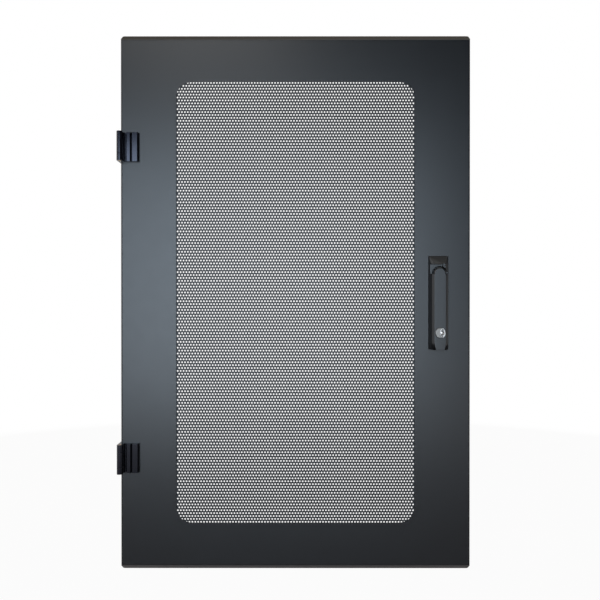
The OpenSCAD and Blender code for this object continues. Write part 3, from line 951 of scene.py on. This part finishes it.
@dataclass
class KeyLock:
    """Lock in the lever: round satin bezel, raised oval rim, sunk seat, and the plug that the key turns.

    Every outline is a reach at equally spaced angles about an axis square to the lever's flat face: the
    oval's for the bezel, rim and seat, and the plug's own for the plug. Heights run outwards from that face.
    The gap is the play between nested parts, and the ledge is the size of the small steps in their sections.
    The oval's two arcs would meet at half its height times the root of the arc share.
    """

    centre: Pair = (545.3 * MM, 215.0 * MM)
    flat_y: float = -60.0 * MM
    bezel_r: float = 9.0 * MM
    bezel_top_r: float = 8.4 * MM
    bezel_h: float = 1.6 * MM
    bezel_edge: float = 0.6 * MM
    barrel_r: float = 7.5 * MM
    barrel_end: float = -8.4 * MM
    rim_x: float = 3.5 * MM
    rim_w: float = 9.6 * MM
    rim_h: float = 15.6 * MM
    rim_t: float = 1.5 * MM
    rim_top: float = 2.6 * MM
    rim_edge: float = 0.7 * MM
    arc_share: float = 1.25
    groove_inset: float = 0.3 * MM
    pocket_gap: float = 0.3 * MM
    seat_h: float = 0.4 * MM
    seat_lap: float = 0.25 * MM
    gap: float = 0.05 * MM
    ledge: float = 0.1 * MM
    plug_x: float = 3.0 * MM
    plug_r: float = 3.55 * MM
    plug_edge: float = 0.15 * MM
    plug_end: float = -8.7 * MM
    dome: float = 0.8 * MM
    dome_shares: tuple[float, ...] = (0.0, 0.03, 0.2, 0.4, 0.6, 0.8, 1.0)
    slot_half_w: float = 0.6 * MM
    slot_half_h: float = 2.5 * MM
    slot_floor: float = -4.4 * MM
    slot_edge: float = 0.06 * MM
    square_half: float = 1.5 * MM
    square_end: float = -10.2 * MM
    edge_steps: int = 6
    count: int = 160

    def __post_init__(self) -> None:
        """Works out the outlines' angles, half a step off the axes, so that no cosine or sine is nothing."""
        self.angle = (np.arange(self.count) + 0.5) * FULL_TURN / self.count

    def circle_reach(self, middle: float, radius: float) -> np.ndarray:
        """Works out how far a circle lies from the oval's centre.

        The reach is the circle's offset times the cosine, plus the root of its radius squared less the
        square of the offset times the sine.

        Args:
            middle: The circle's centre across, from the bezel's centre.
            radius: Its radius.

        Returns:
            The reach at each angle.
        """
        offset = middle - self.rim_x
        return offset * np.cos(self.angle) + np.sqrt(radius**2 - (offset * np.sin(self.angle))**2)

    def plug_bore(self) -> np.ndarray:
        """Returns the reach of the bore that the plug turns in."""
        return self.circle_reach(self.plug_x, self.plug_r + self.gap)

    def oval_reach(self, inset: float) -> np.ndarray:
        """Works out the oval rim's outline: the overlap of two arcs, squared off at its ends.

        The arcs' radius is the width squared, plus the arc share of the height squared, over four times the
        width. Their centres lie on the far side by the radius less half the width, so the reach is that of a
        circle at minus this offset, and no more than half the height divided by the sine.

        Args:
            inset: How far inside the outline the reach is taken.

        Returns:
            The reach at each angle.
        """
        arc_r = (self.rim_w**2 + self.arc_share * self.rim_h**2) / (4 * self.rim_w)
        offset = arc_r - self.rim_w / 2
        cos, sin = np.abs(np.cos(self.angle)), np.abs(np.sin(self.angle))
        arc = np.sqrt((arc_r - inset)**2 - (offset * sin)**2) - offset * cos
        return np.minimum(arc, (self.rim_h / 2 - inset) / sin)

    def placed(self, reach: np.ndarray, height: np.ndarray, middle: float) -> np.ndarray:
        """Turns reaches and heights into points of the door's frame.

        Args:
            reach: Distances from the axis, angles last.
            height: Heights, of the same shape.
            middle: The axis' place across, from the bezel's centre.

        Returns:
            Points in metres.
        """
        return np.stack([self.centre[0] + middle + reach * np.cos(self.angle), self.flat_y - height,
                         self.centre[1] + reach * np.sin(self.angle)], axis=-1)

    def ring(self, name: str, section: list[tuple[np.ndarray, float]]) -> bpy.types.Object:
        """Closes a section of reaches and heights into a ring.

        Args:
            name: The piece's name.
            section: Reach at each angle, and height, once round the section.

        Returns:
            The ring.
        """
        reach = np.stack([np.broadcast_to(row, self.angle.shape) for row, _ in section])
        height = np.broadcast_to(np.array([level for _, level in section])[:, None], reach.shape)
        return flat_faced(ring_piece(name, self.placed(reach, height, self.rim_x)))

    def bezel(self) -> bpy.types.Object:
        """Builds the barrel and the tapered disc, with a pocket for the seat and a groove for the rim.

        Returns:
            The bezel.
        """
        bore, barrel = self.plug_bore(), self.circle_reach(0, self.barrel_r)
        pocket = np.maximum(self.oval_reach(self.rim_t), bore) + self.pocket_gap
        groove = self.oval_reach(self.groove_inset)
        top = np.maximum(self.circle_reach(0, self.bezel_top_r), groove + self.ledge)
        foot = np.maximum(self.circle_reach(0, self.bezel_r), groove + self.ledge)
        edge = [(np.maximum(top - inset, groove + self.gap), self.bezel_h - depth)
                for inset, depth in zip(*edge_rounding(self.bezel_edge, self.edge_steps))]
        groove_floor = self.seat_h + self.ledge
        return self.ring("lock_bezel", [
            (bore, self.barrel_end), (bore, self.gap), (pocket, self.gap), (pocket, groove_floor),
            (groove, groove_floor), (groove, self.bezel_h), *edge,
            (foot, 0.0), (barrel, 0.0), (barrel, self.barrel_end)])

    def rim(self) -> bpy.types.Object:
        """Builds the raised oval, with its top rounded over on both sides.

        Returns:
            The rim.
        """
        inner, outer = np.maximum(self.oval_reach(self.rim_t), self.plug_bore()), self.oval_reach(0)
        share = (outer - inner) / self.rim_t
        edge = list(zip(*edge_rounding(self.rim_edge, self.edge_steps)))
        inside = [(inner + inset * share, self.rim_top - depth) for inset, depth in edge]
        outside = [(outer - inset * share, self.rim_top - depth) for inset, depth in edge]
        foot = self.seat_h + self.gap
        return self.ring("lock_rim", [(inner, foot), *inside[::-1], *outside, (outer, foot)])

    def seat(self) -> bpy.types.Object:
        """Builds the sunk seat round the plug, with its bore's edge chamfered.

        Returns:
            The seat.
        """
        bore = self.plug_bore()
        outer = np.maximum(self.oval_reach(self.rim_t), bore) + self.seat_lap
        return self.ring("lock_seat", [
            (bore, self.ledge), (bore, self.seat_h - self.ledge), (bore + self.ledge, self.seat_h),
            (outer, self.seat_h), (outer, self.ledge)])

    def plug(self) -> bpy.types.Object:
        """Builds the plug: key slot, domed face, barrel, and the square that drives the tail.

        Between the slot's outline and the edge the face falls by the dome's height times the square of the
        distance's share of the radius, and a little more at the slot's own edge.

        Returns:
            The plug.
        """
        cos, sin = np.abs(np.cos(self.angle)), np.abs(np.sin(self.angle))
        slot = np.minimum(self.slot_half_w / cos, self.slot_half_h / sin)
        square = self.square_half / np.maximum(cos, sin)
        edge = self.plug_r - self.plug_edge
        rows = [(slot, self.slot_floor)]
        for share in self.dome_shares:
            reach = slot + (edge - slot) * share
            fall = self.dome * (reach / self.plug_r)**2 + (self.slot_edge if share == 0 else 0)
            rows.append((reach, self.bezel_h - fall))
        rows += [(self.plug_r, self.bezel_h - self.dome - self.plug_edge), (self.plug_r, self.plug_end),
                 (square, self.plug_end), (square, self.square_end)]
        reach, height = (np.stack([np.broadcast_to(row, slot.shape) for row in part]) for part in zip(*rows))
        return flat_faced(lofted("lock_plug_turned", self.placed(reach, height, self.plug_x)))

    def build(self, paint: Paintbox) -> None:
        """Builds and installs the lock's pieces.

        Args:
            paint: The materials.
        """
        install(self.bezel(), "lever", Slot.SATIN, paint, "lock_cylinder")
        install(self.rim(), "lever", Slot.RIM, paint, "lock_cylinder")
        install(self.seat(), "lever", Slot.CHROME, paint, "lock_cylinder")
        install(self.plug(), "lock_plug", Slot.CHROME, paint, "lock_plug")


# ----------------------------------------------------------------------- handle


@dataclass
class SwingHandle:
    """Lift-and-turn handle: housing and lever with the casting's rounded edges.

    Two places stay sharp: the narrow ledge on the crest of the housing's nose, in front of housing_front_y,
    and the lever's underside close to the spindle's tongue, at lever_back_y and behind it.
    """

    housing_edge_mm: float = 0.6
    lever_edge_mm: float = 0.7
    edge_segments: int = 3
    housing_front_y: float = -57.9 * MM
    lever_back_y: float = -49.9 * MM

    def build(self, paint: Paintbox) -> None:
        """Builds and installs the housing and the lever.

        Args:
            paint: The materials.
        """
        housing = softened("handle_housing", "housing_casting", self.housing_edge_mm, self.edge_segments,
                           front_y=self.housing_front_y)
        install(housing, "door", Slot.HANDLE, paint, "handle_housing")
        lever = softened("handle_lever", "lever_casting", self.lever_edge_mm, self.edge_segments,
                         back_y=self.lever_back_y)
        install(lever, "lever", Slot.HANDLE, paint, "handle_lever")


# ----------------------------------------------------------------- rear details


@dataclass
class SpotWelds:
    """Marks of the spot welds on the stiffeners' flanges: low rings round shallow dimples."""

    pitch: float = 62.0 * MM
    end_margins: float = 30.0 * MM
    flange_inset: float = 4.0 * MM
    flange_t: float = 1.2 * MM
    radius: float = 2.6 * MM
    rise: float = 0.22 * MM
    lift: float = 0.02 * MM
    sunk: float = 0.1 * MM
    dimple_share: float = 0.12
    rings: int = 7
    sides: int = 20

    def marks(self, name: str, centres: np.ndarray, face_y: float) -> bpy.types.Object:
        """Builds one lens-shaped mark at each centre.

        The height at a distance from the centre is the lift, plus the rise times the sine of pi times the
        square root of the distance's share of the radius, so a mark is a low ring round a shallow dimple.
        Its skirt is sunk into the flange.

        Args:
            name: The piece's name.
            centres: Marks' centres across and up, one row each.
            face_y: Depth of the flange's rear face.

        Returns:
            The piece with all marks.
        """
        share = np.linspace(self.dimple_share, 1, self.rings)
        height = self.rise * np.sin(math.pi * np.sqrt(share)) + self.lift
        height = np.concatenate([height, [-self.sunk]])
        share = np.concatenate([share, [1.0]])
        angle = turn_angles(self.sides)
        x = centres[:, 0, None, None] + self.radius * share[None, :, None] * np.cos(angle)
        z = centres[:, 1, None, None] + self.radius * share[None, :, None] * np.sin(angle)
        y = np.broadcast_to(face_y + height[None, :, None], x.shape)
        count, rows, cols = x.shape
        points = np.stack([x, y, z], axis=3).reshape(-1, 3)
        shift = (np.arange(count) * rows * cols)[:, None, None]
        skin = (grid_quads(rows, cols, False, True)[None] + shift).reshape(-1, 4)
        caps = np.stack([np.arange(cols)[::-1], (rows - 1) * cols + np.arange(cols)])
        return mesh_piece(name, points, [skin, (caps[None] + shift).reshape(-1, cols)])

    def build(self, paint: Paintbox) -> None:
        """Marks both flanges of each stiffener.

        Args:
            paint: The materials.
        """
        for node in ("hinge_side_stiffener", "upper_lock_side_stiffener", "lower_lock_side_stiffener"):
            low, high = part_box(node)
            count = int((high[2] - low[2] - self.end_margins) / self.pitch) + 1
            up = (low[2] + high[2]) / 2 + (np.arange(count) - (count - 1) / 2) * self.pitch
            across = np.array([low[0] + self.flange_inset, high[0] - self.flange_inset])
            centres = np.stack([np.tile(across, count), np.repeat(up, len(across))], axis=1)
            piece = self.marks(f"{node}_weld_marks", centres, low[1] + self.flange_t)
            install(piece, "door", Slot.DOOR, paint)


@dataclass
class EarthThread:
    """The earth stud with its rolled thread and its round flange."""

    radius: float = 3.0 * MM
    pitch: float = 1.0 * MM
    depth: float = 0.5 * MM
    tip: float = 1.2 * MM
    tip_slope: float = 0.7
    flange_t: float = 1.0 * MM
    turn_points: int = 32
    rows_per_pitch: int = 8

    def __post_init__(self) -> None:
        """Reads the stud's place from the CAD node."""
        low, high = (np.array(corner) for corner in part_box("earth_stud"))
        self.centre = (low + high) / 2
        self.foot_y, self.start_y, self.end_y = low[1], low[1] + self.flange_t, high[1]
        self.angle = turn_angles(self.turn_points)[None, :]

    def turned(self, along: np.ndarray, reach: np.ndarray) -> np.ndarray:
        """Sets points round the stud's axis.

        Args:
            along: Place of each row along the stud, as a column.
            reach: Distance from the axis, as a column or for each row and angle.

        Returns:
            Points shaped rows by angles by 3.
        """
        across = self.centre[0] + reach * np.cos(self.angle)
        up = self.centre[2] + reach * np.sin(self.angle)
        return np.stack([across, np.broadcast_to(along, across.shape), up], axis=2)

    def thread(self) -> np.ndarray:
        """Works out the thread's points.

        The radius at an angle and a distance along the stud is the outer radius less the thread's depth
        times a triangle wave of the distance in pitches less the angle in turns. It runs out to a chamfer at
        the tip, and the wave fades to nothing at the flange.

        Returns:
            Points shaped rows by angles by 3.
        """
        rows = int((self.end_y - self.start_y) / self.pitch * self.rows_per_pitch) + 1
        along = np.linspace(self.start_y, self.end_y, rows)[:, None]
        phase = (along - self.start_y) / self.pitch - self.angle / FULL_TURN
        wave = np.abs(2 * (phase - np.floor(phase + 0.5)))
        fade = np.clip((along - self.start_y) / self.pitch, 0, 1)
        chamfer = np.clip(self.tip - (self.end_y - along), 0, None) * self.tip_slope
        return self.turned(along, self.radius - np.maximum(self.depth * wave * fade, chamfer))

    def flange(self) -> np.ndarray:
        """Works out the flange's points from its section: place along the stud, and reach.

        Returns:
            Points shaped rows by angles by 3.
        """
        section = np.array([(self.foot_y, 4.7 * MM), (self.foot_y + 0.3 * MM, 5.0 * MM),
                            (self.start_y - 0.2 * MM, 5.0 * MM), (self.start_y, 4.8 * MM)])
        return self.turned(section[:, :1], section[:, 1:])

    def build(self, paint: Paintbox) -> None:
        """Builds and installs the threaded stud.

        Args:
            paint: The materials.
        """
        stud = lofted("earth_stud_thread", np.concatenate([self.flange(), self.thread()]))
        install(stud, "door", Slot.ZINC, paint, "earth_stud")


@dataclass
class RearHardware:
    """Clamps, cam and buffers behind the door, with the edges that pressing and moulding leave.

    Each node is listed with its body, its finish and the width of its rounded edges in millimetres.
    """

    edges: dict[str, tuple[str, Slot, float]] = field(default_factory=lambda: {
        "latch_cam": ("spindle", Slot.ZINC, 0.4),
        "handle_clamp": ("door", Slot.ZINC, 0.5),
        "upper_hinge_clamp": ("door", Slot.ZINC, 0.4),
        "lower_hinge_clamp": ("door", Slot.ZINC, 0.4),
        "rubber_buffers": ("door", Slot.RUBBER, 0.5),
    })

    def build(self, paint: Paintbox) -> None:
        """Builds and installs the softened copies.

        Args:
            paint: The materials.
        """
        for node, (body, slot, width) in self.edges.items():
            install(softened(node, f"{node}_finished", width), body, slot, paint, node)


# ----------------------------------------------------------------------- studio


@dataclass(frozen=True)
class SoftLamp:
    """A square or oblong softbox."""

    name: str
    place: Triple
    aim: Triple
    size: Pair
    power: float
    colour: Colour
    spread_deg: float

    def build(self) -> None:
        """Makes the lamp and turns it to its aim."""
        lamp = bpy.data.lights.new(self.name, "AREA")
        lamp.shape = "RECTANGLE"
        lamp.size, lamp.size_y = self.size
        lamp.energy = self.power
        lamp.color = self.colour
        lamp.spread = math.radians(self.spread_deg)
        holder = bpy.data.objects.new(self.name, lamp)
        holder.location = self.place
        holder.rotation_euler = (Vector(self.aim) - Vector(self.place)).to_track_quat("-Z", "Y").to_euler()
        bpy.context.scene.collection.objects.link(holder)


@dataclass
class Studio:
    """White room, pale floor, softboxes and the camera.

    The room's parts are bounded by the share of X, Y or Z in a ray's direction: each such pair gives where
    the part begins to show and where it shows in full. In the same way window_z gives where the window's
    colour leaves its low level and where it reaches its high one.
    """

    floor_z: float = -0.30
    floor_size: float = 14.0
    floor_points: int = 9
    floor_middle: Pair = (0.3, 0.0)
    floor_paint: tuple[Colour, Colour] = ((0.45, 0.42, 0.42), (0.49, 0.46, 0.46))
    floor_cloud_mm: float = 180.0
    white_range: Pair = (0.9, 2.2)
    near_white: float = 0.955
    room: Colour = (0.055, 0.06, 0.075)
    upper_back: Colour = (0.16, 0.13, 0.095)
    wall_y: Pair = (-0.1, 0.5)
    wall_z: Pair = (0.60, 0.35)
    ceiling: Colour = (1.3, 1.28, 1.22)
    ceiling_z: Pair = (0.85, 0.94)
    window_low: Colour = (1.3, 1.3, 1.35)
    window_high: Colour = (2.8, 2.8, 2.8)
    window_x: Pair = (-0.68, -0.78)
    window_y: Pair = (0.15, 0.0)
    window_z: Pair = (0.2, 0.55)
    camera_place: Triple = (0.3093, -1.2405, 0.2755)
    pitch_deg: float = -0.235
    yaw_deg: float = 0.055
    lens_mm: float = 41.945
    sensor_mm: float = 36.0

    def lamps(self) -> list[SoftLamp]:
        """Lists the softboxes: a bluish key close to the camera, and a neutral one above it.

        Returns:
            The softboxes.
        """
        return [
            SoftLamp("key_softbox", place=(0.10, -1.64, 0.36), aim=(0.28, 0.0, 0.27), size=(1.42, 1.02),
                     power=5.6, colour=(0.72, 0.86, 1.0), spread_deg=75.0),
            SoftLamp("upper_softbox", place=(-0.12, -1.64, 1.50), aim=(0.13, 0.0, 0.60), size=(0.74, 0.4),
                     power=0.80, colour=(1.0, 0.99, 0.97), spread_deg=75.0),
        ]

    def world(self) -> None:
        """Lights the room: a white wall behind the door, a ceiling, and a dimmer room in front of it.

        The camera sees white everywhere. Other rays see the wall's white where they run back past the door,
        the ceiling where they run straight up, a dim warm gap between the two, a window where they run to
        the hinge side, and the room's level where they run forward, with smooth changes in between.
        """
        world = bpy.data.worlds.new("white room")
        bpy.context.scene.world = world
        world.use_nodes = True
        graph = Graph(world.node_tree)
        direction = graph.add("ShaderNodeTexCoord").outputs["Generated"]
        part = graph.add("ShaderNodeSeparateXYZ", Vector=direction)
        back = graph.smooth_step(part.outputs["Y"], *self.wall_y)
        low = graph.smooth_step(part.outputs["Z"], *self.wall_z)
        overhead = graph.smooth_step(part.outputs["Z"], *self.ceiling_z)
        dim = graph.blend(back, self.room, self.upper_back)
        pane = graph.blend(graph.smooth_step(part.outputs["Z"], *self.window_z),
                           self.window_low, self.window_high)
        opening = graph.math("MULTIPLY", graph.smooth_step(part.outputs["X"], *self.window_x),
                             graph.smooth_step(part.outputs["Y"], *self.window_y))
        wall = graph.math("MULTIPLY", back, low)
        path = graph.add("ShaderNodeLightPath").outputs
        seen = graph.either(path["Is Camera Ray"], path["Is Transmission Ray"])
        room = graph.add("ShaderNodeBackground", Color=dim)
        ceiling = graph.add("ShaderNodeBackground", Color=rgba(self.ceiling))
        white = graph.add("ShaderNodeBackground", Color=rgba(WHITE))
        window = graph.add("ShaderNodeBackground", Color=pane)
        front = graph.add("ShaderNodeMixShader", n0=opening, n1=room.outputs[0], n2=window.outputs[0])
        above = graph.add("ShaderNodeMixShader", n0=overhead, n1=front.outputs[0], n2=ceiling.outputs[0])
        mix = graph.add("ShaderNodeMixShader", n0=graph.either(seen, wall), n1=above.outputs[0],
                        n2=white.outputs[0])
        graph.add("ShaderNodeOutputWorld", Surface=mix.outputs[0])

    def floor_material(self) -> bpy.types.Material:
        """Makes the floor's finish: pale paint near the door that fades to plain white far from it.

        Returns:
            The floor's material.
        """
        material, graph = new_material("pale floor")
        cloud = graph.remap(graph.noise(self.floor_cloud_mm), 0.0, 1.0)
        colour = graph.blend(cloud, *self.floor_paint)
        paint = graph.add("ShaderNodeBsdfPrincipled", Base_Color=colour, Roughness=0.8)
        paint.inputs["Specular IOR Level"].default_value = 0.1
        place = graph.add("ShaderNodeTexCoord").outputs["Object"]
        offset = graph.add("ShaderNodeVectorMath", {"operation": "DISTANCE"}, n0=place,
                           n1=(*self.floor_middle, self.floor_z))
        far = graph.smooth_step(offset.outputs["Value"], *self.white_range)
        path = graph.add("ShaderNodeLightPath").outputs
        near = graph.math("MULTIPLY", path["Is Camera Ray"], self.near_white)
        seen = graph.either(graph.either(path["Is Camera Ray"], path["Is Glossy Ray"]),
                            path["Is Transmission Ray"])
        share = graph.math("MULTIPLY", graph.either(far, near), seen)
        white = graph.add("ShaderNodeEmission", Color=rgba(WHITE), Strength=1.0)
        mix = graph.add("ShaderNodeMixShader", n0=share, n1=paint.outputs[0], n2=white.outputs[0])
        graph.add("ShaderNodeOutputMaterial", Surface=mix.outputs[0])
        return material

    def floor(self) -> None:
        """Lays a flat square floor, a grid of points at equal steps both ways, under the door."""
        steps = np.linspace(-self.floor_size / 2, self.floor_size / 2, self.floor_points)
        x, y = np.meshgrid(steps, steps)
        points = np.stack([x, y, np.full_like(x, self.floor_z)], axis=2).reshape(-1, 3)
        mesh = bpy.data.meshes.new("floor")
        mesh.from_pydata(points, [], grid_quads(*x.shape, False, False))
        floor = bpy.data.objects.new("floor", mesh)
        mesh.materials.append(self.floor_material())
        bpy.context.scene.collection.objects.link(floor)

    def camera(self) -> None:
        """Sets the camera straight in front of the door."""
        data = bpy.data.cameras.new("camera")
        data.sensor_width = self.sensor_mm
        data.lens = self.lens_mm
        camera = bpy.data.objects.new("camera", data)
        camera.location = self.camera_place
        camera.rotation_euler = Euler((math.radians(90 + self.pitch_deg), 0, math.radians(self.yaw_deg)))
        bpy.context.scene.collection.objects.link(camera)
        bpy.context.scene.camera = camera

    def build(self) -> None:
        """Sets up the whole studio."""
        self.camera()
        self.world()
        self.floor()
        for lamp in self.lamps():
            lamp.build()
        bpy.context.scene.view_settings.view_transform = "Standard"
        log.info("studio: floor at %.3f m, camera at %s", self.floor_z, self.camera_place)


def main() -> None:
    """Builds the studio, then the door's sub-assemblies from the sheet outwards."""
    logging.basicConfig(level=logging.INFO, format="%(name)s: %(message)s")
    Studio().build()
    paint = Paintbox()
    paint.coat_cad_nodes()
    PerforatedField().build(paint)
    for level in Level:
        Hinge(level).build(paint)
    SwingHandle().build(paint)
    KeyLock().build(paint)
    RearHardware().build(paint)
    SpotWelds().build(paint)
    EarthThread().build(paint)


if __name__ == "__main__":
    main()
